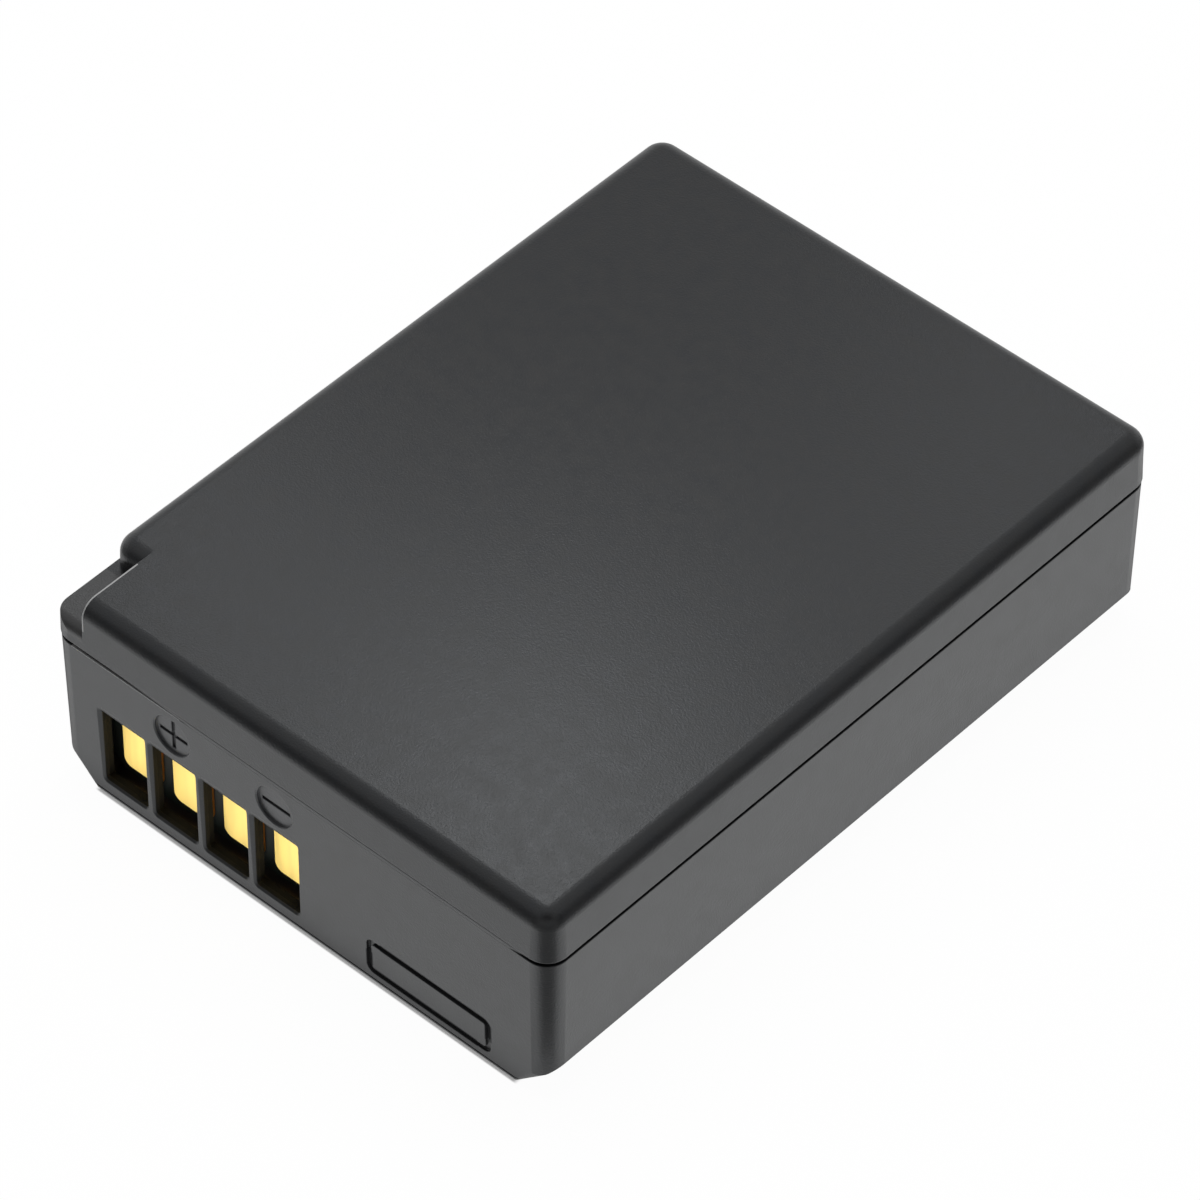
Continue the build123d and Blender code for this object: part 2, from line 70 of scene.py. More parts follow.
to_camera = direction(view_azimuth, view_elevation)
level_right = (-to_camera).cross(Vector((0, 0, 1))).normalized()
level_up = level_right.cross(-to_camera)
right = math.cos(view_roll) * level_right + math.sin(view_roll) * level_up
up = math.cos(view_roll) * level_up - math.sin(view_roll) * level_right
turn = Matrix((right, up, to_camera)).transposed().to_4x4()
camera_data = bpy.data.cameras.new("camera")
camera_data.lens = lens_mm
camera_data.sensor_width = sensor_mm
camera_data.clip_start = nearest_seen
camera = bpy.data.objects.new("camera", camera_data)
camera.matrix_world = Matrix.Translation(view_place) @ turn
scene.collection.objects.link(camera)
scene.camera = camera
scene.view_settings.view_transform = "Standard"

# Floor: a wide sheet of white paper, white to the camera but for a thin shadow under the front
# edge. In the pack's gloss it is two reflector cards, beside the contact end and the right side,
# and dim past their shared corner and close behind. From below it is clear.
floor_half = 1500 * mm
floor_drop = 0.02 * mm
floor_white = 0.86
floor_roughness = 0.9
floor_gloss = 0.1
floor_glow = 0.97
front_card = 1.16
side_card = 1.26
card_fade = 1.5 * mm
card_reach = (17 * mm, 32 * mm)
corner_light = 0.38
corner_start = (1.0 * mm, 2.6 * mm)
far_light = 0.3
rear_card = 0.9
rear_reach = (11 * mm, 16 * mm)
under_light = 1.3
under_inset = 3 * mm
foot_shadow = 0.75
foot_shadow_x = (15.7 * mm, 15.3 * mm)
foot_shadow_y = (24.38 * mm, 24.26 * mm)
pack_half_x, pack_half_y = size_at_load[1][:2]


def plain_material(name):
    """A new material, with its node tree and its shader."""
    material = bpy.data.materials.new(name)
    material.use_nodes = True
    tree = material.node_tree
    return material, tree, tree.nodes["Principled BSDF"]


def feed(socket, value):
    """Links a socket to another one, or sets it to a number, a vector or a colour."""
    if isinstance(value, bpy.types.NodeSocket):
        socket.id_data.links.new(value, socket)
    elif socket.type == "RGBA":
        socket.default_value = (*value, 1)
    else:
        socket.default_value = value


def set_inputs(node, **values):
    """Feeds the inputs of these names, which have _ for each space."""
    for key, value in values.items():
        feed(node.inputs[key.replace("_", " ")], value)


def add_node(tree, kind, **values):
    """Adds a node. Names that it has as properties are set on it, the others on its inputs."""
    node = tree.nodes.new(kind)
    for key, value in values.items():
        if hasattr(node, key):
            setattr(node, key, value)
        else:
            set_inputs(node, **{key: value})
    return node


def place_parts(tree):
    """Where a point lies on the piece, as a vector and as its three lengths."""
    place = add_node(tree, "ShaderNodeTexCoord").outputs["Object"]
    split = add_node(tree, "ShaderNodeSeparateXYZ", Vector=place)
    return place, split.outputs["X"], split.outputs["Y"], split.outputs["Z"]


def ramp(tree, source, low, high, start=0.0, end=1.0):
    """A value that goes smoothly from start to end while the source goes from low to high."""
    node = add_node(tree, "ShaderNodeMapRange", interpolation_type="SMOOTHSTEP")
    set_inputs(node, Value=source, From_Min=low, From_Max=high, To_Min=start, To_Max=end)
    return node.outputs[0]


def calculate(tree, operation, *values):
    """A sum, product or the like of sockets and numbers."""
    node = add_node(tree, "ShaderNodeMath", operation=operation)
    for socket, value in zip(node.inputs, values):
        feed(socket, value)
    return node.outputs[0]


def product(tree, first, *others):
    """Product of two or more values. Of masks, it is 1 where all of them are 1."""
    for other in others:
        first = calculate(tree, "MULTIPLY", first, other)
    return first


def choose(tree, switch, off, on):
    """The first value where the switch is 0, and the second where it is 1."""
    node = add_node(tree, "ShaderNodeMix", data_type="FLOAT")
    for i, value in ((0, switch), (2, off), (3, on)):
        feed(node.inputs[i], value)
    return node.outputs[0]


def choose_shader(tree, switch, off, on):
    """The first shader where the switch is 0, and the second where it is 1."""
    node = add_node(tree, "ShaderNodeMixShader")
    for socket, value in zip(node.inputs, (switch, off, on)):
        feed(socket, value)
    return node.outputs[0]


def add_piece(name, form, material):
    """Puts a form into the scene as an object of one material."""
    mesh = bpy.data.meshes.new(name)
    form.to_mesh(mesh)
    form.free()
    mesh.materials.append(material)
    piece = bpy.data.objects.new(name, mesh)
    scene.collection.objects.link(piece)
    return piece


floor_paper, tree, shader = plain_material("floor_paper")
set_inputs(
    shader,
    Base_Color=(floor_white, floor_white, floor_white),
    Roughness=floor_roughness,
    Specular_IOR_Level=floor_gloss,
)
across, along = place_parts(tree)[1:3]
from_middle_x = calculate(tree, "ABSOLUTE", across)
from_middle_y = calculate(tree, "ABSOLUTE", along)
past_x = calculate(tree, "SUBTRACT", from_middle_x, pack_half_x)
past_y = calculate(tree, "SUBTRACT", from_middle_y, pack_half_y)
away = calculate(tree, "MAXIMUM", past_x, past_y)
beside_side = ramp(tree, across, pack_half_x - card_fade, pack_half_x + card_fade)
beside_front = ramp(tree, along, card_fade - pack_half_y, -card_fade - pack_half_y)
corner = product(tree, beside_side, beside_front, ramp(tree, away, *corner_start))
card = choose(tree, beside_side, front_card, side_card)
card = choose(tree, corner, card, corner_light)
card = choose(tree, ramp(tree, away, *card_reach), card, far_light)
rear = ramp(tree, away, *rear_reach, far_light, rear_card)
gloss_light = choose(tree, calculate(tree, "MAXIMUM", beside_side, beside_front), rear, card)
under = product(
    tree,
    calculate(tree, "LESS_THAN", past_x, -under_inset),
    calculate(tree, "LESS_THAN", past_y, -under_inset),
)
gloss_light = choose(tree, under, gloss_light, under_light)
shadow = product(
    tree,
    ramp(tree, from_middle_x, *foot_shadow_x),
    ramp(tree, from_middle_y, *foot_shadow_y),
    foot_shadow,
)
light_path = add_node(tree, "ShaderNodeLightPath").outputs
seen = calculate(tree, "MAXIMUM", light_path["Is Camera Ray"], light_path["Is Glossy Ray"])
shown = product(tree, seen, calculate(tree, "SUBTRACT", 1.0, shadow), floor_glow)
glow_light = choose(tree, light_path["Is Camera Ray"], gloss_light, 1.0)
glow = add_node(tree, "ShaderNodeEmission", Strength=glow_light)
clear_paper = add_node(tree, "ShaderNodeBsdfTransparent")
from_below = add_node(tree, "ShaderNodeNewGeometry").outputs["Backfacing"]
lit_paper = choose_shader(tree, shown, shader.outputs[0], glow.outputs[0])
paper_surface = choose_shader(tree, from_below, lit_paper, clear_paper.outputs[0])
set_inputs(tree.nodes["Material Output"], Surface=paper_surface)

floor_form = bmesh.new()
bmesh.ops.create_grid(floor_form, x_segments=1, y_segments=1, size=floor_half)
bmesh.ops.translate(floor_form, verts=floor_form.verts, vec=(0, 0, -floor_drop))
floor = add_piece("floor", floor_form, floor_paper)

# Room: white to the camera. What the pack sees of it is dim at the left and right, darkest at the
# camera itself, and light overhead, under the camera and at the pale wall behind the pack.
room_low = 0.12
room_high = 0.55
room_rise = (0.35, 0.75)
camera_dark = 0.04
camera_dark_spread = (0.84, 0.97)
front_sky = 0.5
front_sky_spread = (0.50, 0.85)
front_sky_top = (0.58, 0.42)
wall_low = 0.95
wall_high = 0.64
wall_rise = (0.30, 0.62)
wall_spread = (-0.35, 0.75)
away_azimuth = view_azimuth + math.pi


def pointing(tree, view, aim):
    """How much a direction of view points at an aim: 1 straight at it, and -1 away from it."""
    node = add_node(tree, "ShaderNodeVectorMath", operation="DOT_PRODUCT")
    feed(node.inputs[0], view)
    feed(node.inputs[1], aim)
    return node.outputs["Value"]


room = bpy.data.worlds.new("room")
scene.world = room
room.use_nodes = True
tree = room.node_tree
view = add_node(tree, "ShaderNodeTexCoord").outputs["Generated"]
rise = add_node(tree, "ShaderNodeSeparateXYZ", Vector=view).outputs["Z"]
towards_wall = pointing(tree, view, direction(away_azimuth, 0))
at_camera = ramp(tree, pointing(tree, view, to_camera), *camera_dark_spread)
dim = ramp(tree, rise, *room_rise, room_low, room_high)
dark = choose(tree, at_camera, dim, camera_dark)
low_front = product(
    tree,
    ramp(tree, calculate(tree, "MULTIPLY", towards_wall, -1.0), *front_sky_spread),
    ramp(tree, rise, *front_sky_top),
)
dark = choose(tree, low_front, dark, front_sky)
pale = ramp(tree, rise, *wall_rise, wall_low, wall_high)
room_light = choose(tree, ramp(tree, towards_wall, *wall_spread), dark, pale)
camera_ray = add_node(tree, "ShaderNodeLightPath").outputs["Is Camera Ray"]
room_light = choose(tree, camera_ray, room_light, 1.0)
set_inputs(tree.nodes["Background"], Color=(1, 1, 1), Strength=room_light)

# Lamps: three small soft boxes, which the near, left and right corners of the cover mirror in soft
# patches, and a broad ceiling that only lights and is not mirrored. Powers are in watts.
key_elevation = math.radians(46)
key_reach = 100 * mm
key_size = 15 * mm
key_boxes = {
    "near_box": ((19 * mm, -27 * mm, 14.4 * mm), 0.0062),
    "left_box": ((-16 * mm, -26 * mm, 14.4 * mm), 0.0026),
    "right_box": ((20 * mm, 21 * mm, 14.4 * mm), 0.0018),
}
pack_foot = (0, 0, 0)
ceiling_aim = (-0.1, 0.15, 1.0)
ceiling_reach = 700 * mm
ceiling_size = 500 * mm
ceiling_power = 3.0


def soft_box(name, target, aim, reach, size, power):
    """Square lamp that stands off from a target in the direction of its aim, turned to it."""
    lamp = bpy.data.lights.new(name, "AREA")
    lamp.shape = "SQUARE"
    lamp.size = size
    lamp.energy = power
    holder = bpy.data.objects.new(name, lamp)
    stand_off = Vector(aim).normalized() * reach
    turned = stand_off.to_track_quat("Z", "Y").to_matrix().to_4x4()
    holder.matrix_world = Matrix.Translation(Vector(target) + stand_off) @ turned
    holder.visible_camera = False
    scene.collection.objects.link(holder)
    return holder


for name, (target, power) in key_boxes.items():
    soft_box(name, target, direction(away_azimuth, key_elevation), key_reach, key_size, power)
ceiling = soft_box(
    "ceiling_box", pack_foot, ceiling_aim, ceiling_reach, ceiling_size, ceiling_power
)
ceiling.visible_glossy = False

# Cells: drawn aluminium cans with faint lines along their length, laid one over the other. At the
# lid end of each a nickel rivet stands in a pale nylon gasket, beside a nickel pad for the weld.
cell_lid_y = -18.74 * mm
cell_axis_z = (4.075 * mm, 10.075 * mm)
proud_of_lid = 0.02 * mm
gasket_ring = (1.45 * mm, 2.05 * mm)
can_colours = ((0.60, 0.61, 0.63), (0.70, 0.71, 0.72))
nickel_colours = ((0.56, 0.53, 0.47), (0.66, 0.63, 0.57))
nylon_colour = (0.62, 0.61, 0.57)
drawn_lines = (2600.0, 3.0, (1, 0.02, 1))
can_wear = (140.0, 3.0)
can_roughness = (0.30, 0.34)
can_relief = (0.004 * mm, 0.5)
cloud_spread = (0.3, 0.7)


def cloud(tree, place, scale, detail, stretch=(1, 1, 1), roughness=0.55):
    """Soft random pattern, drawn out along an axis where the stretch is less than 1."""
    mapping = add_node(tree, "ShaderNodeMapping", Vector=place, Scale=stretch)
    texture = add_node(
        tree,
        "ShaderNodeTexNoise",
        Vector=mapping.outputs[0],
        Scale=scale,
        Detail=detail,
        Roughness=roughness,
    )
    return texture.outputs[0]


def colour_between(tree, share, first, second):
    """Colour between two, which are colours or sockets."""
    node = add_node(tree, "ShaderNodeMix", data_type="RGBA")
    for i, value in ((0, share), (6, first), (7, second)):
        feed(node.inputs[i], value)
    return node.outputs[2]


def relief(tree, shader, height, depth, strength=1.0, rounded=None):
    """Fine relief in the surface, on top of its rounded edges where these are given."""
    bump = add_node(tree, "ShaderNodeBump", Height=height, Strength=strength, Distance=depth)
    if rounded is not None:
        set_inputs(bump, Normal=rounded)
    set_inputs(shader, Normal=bump.outputs[0])


def near(tree, value, centre, half):
    """1 where a length lies within half of a centre, and 0 elsewhere."""
    offset = calculate(tree, "ABSOLUTE", calculate(tree, "SUBTRACT", value, centre))
    return calculate(tree, "LESS_THAN", offset, half)


def within(tree, value, span):
    """1 where a length lies between the two of a span, and 0 elsewhere."""
    return near(tree, value, sum(span) / 2, (span[1] - span[0]) / 2)


def repeat(tree, value, first, pitch):
    """Signed distance from the nearest of a row of places, which starts at first."""
    offset = calculate(tree, "SUBTRACT", value, first)
    return calculate(tree, "WRAP", offset, pitch / 2, -pitch / 2)


def distance(tree, first, second):
    """Distance from a middle, of a point that lies so far from it along two axes."""
    squares = [calculate(tree, "MULTIPLY", value, value) for value in (first, second)]
    return calculate(tree, "SQRT", calculate(tree, "ADD", *squares))


def dress(names, material):
    """Gives the pieces of these names a material."""
    for name in names:
        nodes[name].data.materials[0] = material


can, tree, shader = plain_material("drawn_aluminium")
place, across, along, up_z = place_parts(tree)
lines = cloud(tree, place, *drawn_lines)
wear = cloud(tree, place, *can_wear)
proud = calculate(tree, "LESS_THAN", along, cell_lid_y - proud_of_lid)
cell_pitch = cell_axis_z[1] - cell_axis_z[0]
rivet_r = distance(tree, across, repeat(tree, up_z, cell_axis_z[0], cell_pitch))
nylon = product(tree, proud, within(tree, rivet_r, gasket_ring))
metal = colour_between(
    tree, proud, colour_between(tree, lines, *can_colours), nickel_colours[1]
)
set_inputs(
    shader,
    Base_Color=colour_between(tree, nylon, metal, nylon_colour),
    Metallic=calculate(tree, "SUBTRACT", 1.0, nylon),
    Roughness=ramp(tree, wear, *cloud_spread, *can_roughness),
)
relief(tree, shader, lines, *can_relief)
dress(("cell_lower", "cell_upper"), can)

# Tapes: amber polyimide film, stuck under the lower cell and between the two cells, with the weave
# of its adhesive side pressed through.
film_colours = ((0.42, 0.20, 0.035), (0.56, 0.30, 0.06))
film_creases = (90.0, 4.0, (1, 0.25, 1))
crease_spread = (0.35, 0.65)
film_roughness = (0.18, 0.34)
film_weave_pitch = 0.6 * mm
film_relief = (0.03, 0.6)

film, tree, shader = plain_material("amber_film")
place, across, along = place_parts(tree)[:3]
creases = cloud(tree, place, *film_creases)
film_weave = calculate(
    tree,
    "ADD",
    calculate(tree, "ABSOLUTE", repeat(tree, across, 0.0, film_weave_pitch)),
    calculate(tree, "ABSOLUTE", repeat(tree, along, 0.0, film_weave_pitch)),
)
set_inputs(
    shader,
    Base_Color=colour_between(tree, creases, *film_colours),
    Roughness=ramp(tree, creases, *crease_spread, *film_roughness),
)
relief(tree, shader, film_weave, *film_relief)
dress(("floor_tape", "cell_tape"), film)

# Foams: dark closed-cell pads, cut from sheet. One lies under the cover and one stands behind the
# cells, and they take up the play.
foam_colours = ((0.018, 0.018, 0.020), (0.055, 0.055, 0.060))
foam_pore_scale = 2600.0
foam_pore_softness = 0.3
foam_roughness = 0.92
foam_relief = 0.12 * mm

foam, tree, shader = plain_material("closed_cell_foam")
place = place_parts(tree)[0]
pores = add_node(
    tree,
    "ShaderNodeTexVoronoi",
    feature="SMOOTH_F1",
    Vector=place,
    Scale=foam_pore_scale,
    Smoothness=foam_pore_softness,
).outputs["Distance"]
set_inputs(
    shader, Base_Color=colour_between(tree, pores, *foam_colours), Roughness=foam_roughness
)
relief(tree, shader, pores, foam_relief)
dress(("cover_foam", "end_foam"), foam)

# Nickel strips: cut from rolled sheet, dulled a little, and spot-welded to the cells. The tips of
# the welder leave four dimples at each terminal.
weld_pitch_x = 11.47 * mm
dimple_pitch = 1.1 * mm
dimple_radius = (0.2 * mm, 0.32 * mm)
dimple_colour = (0.30, 0.27, 0.25)
rolled_lines = (3200.0, 2.0, (1, 1, 0.03))
rolled_depth = 0.05
strip_tarnish = (210.0, 4.0)
strip_roughness = (0.24, 0.42)
strip_relief = 0.06 * mm

strip_metal, tree, shader = plain_material("nickel_strip")
place, across, _, up_z = place_parts(tree)
rolling = cloud(tree, place, *rolled_lines)
tarnish = cloud(tree, place, *strip_tarnish)
weld_x = repeat(tree, across, 0.0, weld_pitch_x)
weld_z = repeat(tree, up_z, cell_axis_z[0], cell_pitch)
dimple_r = distance(
    tree,
    repeat(tree, weld_x, dimple_pitch / 2, dimple_pitch),
    repeat(tree, weld_z, dimple_pitch / 2, dimple_pitch),
)
dimple = product(
    tree,
    near(tree, weld_x, 0.0, dimple_pitch),
    near(tree, weld_z, 0.0, dimple_pitch),
    ramp(tree, dimple_r, *dimple_radius, 1.0, 0.0),
)
rolled = colour_between(tree, tarnish, *nickel_colours)
set_inputs(
    shader,
    Base_Color=colour_between(tree, dimple, rolled, dimple_colour),
    Metallic=1,
    Roughness=ramp(tree, tarnish, *cloud_spread, *strip_roughness),
)
surface = calculate(tree, "SUBTRACT", product(tree, rolling, rolled_depth), dimple)
relief(tree, shader, surface, strip_relief)
dress(("series_strip", "positive_strip", "negative_strip", "middle_strip"), strip_metal)

# Insulating paper: pressed fibre sheet, barley green with short pale fibres, punched to let the
# terminals through and stuck on the lids of the cells.
paper_colours = ((0.085, 0.16, 0.11), (0.15, 0.25, 0.18))
paper_fibres = (1500.0, 4.0, (0.25, 1, 1))
paper_felt = (5200.0, 2.0)
paper_roughness = 0.82
paper_relief = 0.02 * mm

fibre_paper, tree, shader = plain_material("fibre_paper")
place = place_parts(tree)[0]
fibres = cloud(tree, place, *paper_fibres)
felt = cloud(tree, place, *paper_felt)
set_inputs(
    shader, Base_Color=colour_between(tree, fibres, *paper_colours), Roughness=paper_roughness
)
relief(tree, shader, calculate(tree, "ADD", fibres, felt), paper_relief)
dress(("insulating_paper",), fibre_paper)

# Board spacer: a frame moulded in natural plastic, with its flow marks and dull skin. It stands
# between the cells and the circuit board, and holds the board against the ribs of the case.
spacer_colours = ((0.52, 0.51, 0.47), (0.63, 0.62, 0.58))
spacer_flow = (240.0, 3.0, (0.3, 1, 1))
spacer_skin = (7000.0, 2.0)
spacer_roughness = (0.42, 0.55)
spacer_translucence = 0.08
spacer_light_depth = (0.8 * mm, 0.6 * mm, 0.4 * mm)
spacer_relief = (0.012 * mm, 0.5)

natural_plastic, tree, shader = plain_material("natural_plastic")
place = place_parts(tree)[0]
flow = cloud(tree, place, *spacer_flow)
set_inputs(
    shader,
    Base_Color=colour_between(tree, flow, *spacer_colours),
    Roughness=ramp(tree, flow, *cloud_spread, *spacer_roughness),
    Subsurface_Weight=spacer_translucence,
    Subsurface_Radius=spacer_light_depth,
)
relief(tree, shader, cloud(tree, place, *spacer_skin), *spacer_relief)
dress(("board_spacer",), natural_plastic)

# Circuit board: woven glass laminate, bare at its edges, under green lacquer that shows the copper
# lines beneath it. The lacquer and its lines are darkened almost to black, as painted shade for
# the recess behind the windows. Gilded lands lie round the slots of the contacts.
board_y = (-22.773 * mm, -21.973 * mm)
lacquer_depth = 0.04 * mm
contact_first_x = -13.15 * mm
contact_pitch = 3.8 * mm
contact_mid_z = 4.17 * mm
contact_count = 4
land_half = (1.0 * mm, 2.1 * mm)
trace_pitch = 0.64 * mm
trace_half = 0.13 * mm
trace_paths = (260.0, 1.0)
upright_above = 0.54
level_below = 0.44
# Painted shade: the green lacquer and the lines under it are darkened almost to black.
lacquer_colours_painted_shade = ((0.0020, 0.0065, 0.0045), (0.0035, 0.0095, 0.0065))
lacquer_shade = (300.0, 3.0)
trace_colour_painted_shade = (0.005, 0.014, 0.009)
laminate_colours = ((0.30, 0.27, 0.13), (0.42, 0.38, 0.20))
glass_weave = (5200.0, 2.0, (1, 1, 0.2))
glass_weave_depth = 0.35
gilding_colour = (1.0, 0.78, 0.27)
lacquer_roughness = 0.65
laminate_roughness = 0.8
board_relief = 0.02 * mm

board_face, tree, shader = plain_material("lacquered_board")
place, across, along, up_z = place_parts(tree)
weave = cloud(tree, place, *glass_weave)
paths = cloud(tree, place, *trace_paths)
line_x = near(tree, repeat(tree, across, 0.0, trace_pitch), 0.0, trace_half)
line_z = near(tree, repeat(tree, up_z, 0.0, trace_pitch), 0.0, trace_half)
traces = calculate(
    tree,
    "MAXIMUM",
    product(tree, line_x, calculate(tree, "GREATER_THAN", paths, upright_above)),
    product(tree, line_z, calculate(tree, "LESS_THAN", paths, level_below)),
)
row_middle = contact_first_x + contact_pitch * (contact_count - 1) / 2
land = product(
    tree,
    near(tree, repeat(tree, across, contact_first_x, contact_pitch), 0.0, land_half[0]),
    near(tree, up_z, contact_mid_z, land_half[1]),
    near(tree, across, row_middle, contact_pitch * contact_count / 2),
)
edge = within(tree, along, (board_y[0] + lacquer_depth, board_y[1] - lacquer_depth))
lacquer = colour_between(tree, cloud(tree, place, *lacquer_shade), *lacquer_colours_painted_shade)
lacquer = colour_between(tree, traces, lacquer, trace_colour_painted_shade)
lacquer = colour_between(tree, land, lacquer, gilding_colour)
laminate = colour_between(tree, weave, *laminate_colours)
set_inputs(
    shader,
    Base_Color=colour_between(tree, edge, lacquer, laminate),
    Metallic=product(tree, land, calculate(tree, "SUBTRACT", 1.0, edge)),
    Roughness=choose(tree, edge, lacquer_roughness, laminate_roughness),
)
height = calculate(tree, "ADD", traces, product(tree, weave, glass_weave_depth))
relief(tree, shader, height, board_relief)
dress(("circuit_board",), board_face)

# Parts soldered to the board. Each has its body colour in the middle and bright tin on what is
# soldered: bent leads beside the moulded chips, plated ends on the small ceramic ones.
tin_colours = ((0.55, 0.55, 0.56), (0.72, 0.72, 0.73))
tin_roughness = 0.3
epoxy_colours = ((0.010, 0.010, 0.011), (0.020, 0.020, 0.021))
glaze_colours = ((0.008, 0.008, 0.010), (0.022, 0.022, 0.026))
barium_colours = ((0.30, 0.20, 0.12), (0.40, 0.28, 0.17))
alumina_colours = ((0.50, 0.52, 0.49), (0.62, 0.64, 0.60))
sensor_colours = ((0.10, 0.09, 0.08), (0.17, 0.15, 0.13))
part_speckle = (2400.0, 4.0)
part_relief = (0.01 * mm, 0.6)
row_pitch = 2.05 * mm
# Colours of the body, count in the row, length of each tinned end and roughness of the body
board_parts = {
    "protection_chip": (epoxy_colours, 1, 0.65 * mm, 0.55),
    "switch_transistor": (epoxy_colours, 1, 1.0 * mm, 0.55),
    "sense_resistor": (glaze_colours, 1, 0.35 * mm, 0.3),
    "chip_fuse": (alumina_colours, 1, 0.35 * mm, 0.35),
    "temperature_sensor": (sensor_colours, 1, 0.35 * mm, 0.4),
    "chip_resistors": (glaze_colours, 4, 0.35 * mm, 0.3),
    "chip_capacitors": (barium_colours, 3, 0.35 * mm, 0.45),
}
for name, (body_colours, count, end_length, body_roughness) in board_parts.items():
    part_x = [corner.co.x for corner in nodes[name].data.vertices]
    part_length = max(part_x) - min(part_x) - (count - 1) * row_pitch
    first_middle = min(part_x) + part_length / 2
    finish, tree, shader = plain_material(name + "_finish")
    place, across = place_parts(tree)[:2]
    speckle = cloud(tree, place, *part_speckle)
    if count > 1:
        offset = repeat(tree, across, first_middle, row_pitch)
    else:
        offset = calculate(tree, "SUBTRACT", across, first_middle)
    from_part_middle = calculate(tree, "ABSOLUTE", offset)
    tinned = calculate(tree, "GREATER_THAN", from_part_middle, part_length / 2 - end_length)
    body = colour_between(tree, speckle, *body_colours)
    tin = colour_between(tree, speckle, *tin_colours)
    set_inputs(
        shader,
        Base_Color=colour_between(tree, tinned, body, tin),
        Metallic=tinned,
        Roughness=choose(tree, tinned, body_roughness, tin_roughness),
    )
    relief(tree, shader, speckle, *part_relief)
    dress((name,), finish)

# Contacts: gilded plates, soldered to the circuit board by their tabs and brushed by the camera's
# spring pins. The bevelled rim, told by the way it faces, is painted darker amber as painted
# shade.
# One soft box lights only these.
# Painted shade: the gilding on the bevelled rim is painted a darker amber.
rim_painted_shade = (0.62, 0.30, 0.07)
flat_above = 0.97
pin_brushing = (3000.0, 3.0, (1, 1, 0.08))
brushing_spread = (0.25, 0.75)
gilding_roughness = (0.58, 0.70)
gilding_relief = (0.004 * mm, 0.4)
contact_names = ("contact_plus", "contact_data", "contact_sense", "contact_minus")
window_box_aim = (0.10, -0.95, 0.10)
window_box_reach = 500 * mm
window_box_size = 250 * mm
window_box_power = 4.2

gold, tree, shader = plain_material("contact_gilding")
place = place_parts(tree)[0]
brushed = cloud(tree, place, *pin_brushing)
true_normal = add_node(tree, "ShaderNodeNewGeometry").outputs["True Normal"]
normal_y = add_node(tree, "ShaderNodeSeparateXYZ", Vector=true_normal).outputs["Y"]
flat = calculate(tree, "GREATER_THAN", calculate(tree, "ABSOLUTE", normal_y), flat_above)
set_inputs(
    shader,
    Base_Color=colour_between(tree, flat, rim_painted_shade, gilding_colour),
    Metallic=1,
    Roughness=ramp(tree, brushed, *brushing_spread, *gilding_roughness),
)
relief(tree, shader, brushed, *gilding_relief)
dress(contact_names, gold)
contacts = bpy.data.collections.new("contacts")
for name in contact_names:
    contacts.objects.link(nodes[name])
window_box = soft_box(
    "window_box",
    pack_foot,
    window_box_aim,
    window_box_reach,
    window_box_size,
    window_box_power,
)
window_box.light_linking.receiver_collection = contacts

# Housing: a case and a cover of charcoal polycarbonate, moulded with a fine spark-eroded grain and
# welded at the seam. It is duller in the windows and along the outlined frame. Painted shade
# darkens the windows, painted light makes the marks and the rebate's ledge paler, and painted
# highlights lie along the rebate's top edge and the seam.
housing_colours = ((0.0070, 0.0080, 0.0105), (0.0125, 0.0115, 0.0105))
housing_mottle = (900.0, 5.0)
mottle_spread = (0.2, 0.8)
housing_roughness = (0.28, 0.34)
gloss_tint = (0.94, 0.975, 1.0)
broken_edge = 0.09 * mm
edge_samples = 6
housing_grain = (9000.0, 2.0)
housing_relief = (0.02 * mm, 0.8)
front_before_y = -20 * mm
# Painted shade: the colour inside the windows is darkened almost to black.
window_painted_shade = (0.003, 0.003, 0.003)
dull_roughness = 1.0
window_row_x = (-15.2 * mm, 0.4 * mm)
window_row_y = (-24.2 * mm, -22.0 * mm)
window_row_z = (1.1 * mm, 7.3 * mm)
frame_centre = (9.375 * mm, 2.22 * mm)
frame_half = (4.295 * mm, 1.12 * mm)
frame_corner = 0.34 * mm
frame_soft = (0.30 * mm, 0.16 * mm)
frame_open_corner = 0.8 * mm
mark_x = (-9.2 * mm, -1.6 * mm)
mark_z = 8.87 * mm
mark_radius = 1.38 * mm
mark_depth = 0.02 * mm
# Painted light: the marks are paler, to lift the shade in their shallow recess.
mark_painted_light = (0.034, 0.034, 0.036)
front_foot_y = -24.311 * mm
front_lean = 0.01484
rebate_x = -15.67 * mm
rebate_y = -20.2 * mm
rebate_ledge_z = 12.45 * mm
ledge_inset = 0.02 * mm
ledge_z = (11.5 * mm, 12.42 * mm)
# Painted light: the rebate's ledge is painted paler than the rest of the housing.
ledge_painted_light = (0.030, 0.029, 0.029)
# Painted highlights: thin pale lines along the rebate's top edge and the case's top edge at the
# seam.
edge_painted_highlight = (0.30, 0.30, 0.30)
rebate_painted_highlight = (0.012 * mm, 0.10 * mm)
seam_highlight_x = (-16.6 * mm, -8.5 * mm)
seam_highlight_z = (10.655 * mm, 10.725 * mm)
seam_highlight_share = 0.8

housing, tree, shader = plain_material("housing_plastic")
place, across, along, up_z = place_parts(tree)
mottle = cloud(tree, place, *housing_mottle)
on_front = calculate(tree, "LESS_THAN", along, front_before_y)

# Inside the windows: painted shade in the colour, and a dull roughness.
in_windows_shade_and_dull = product(
    tree,
    within(tree, across, window_row_x),
    within(tree, along, window_row_y),
    within(tree, up_z, window_row_z),
)

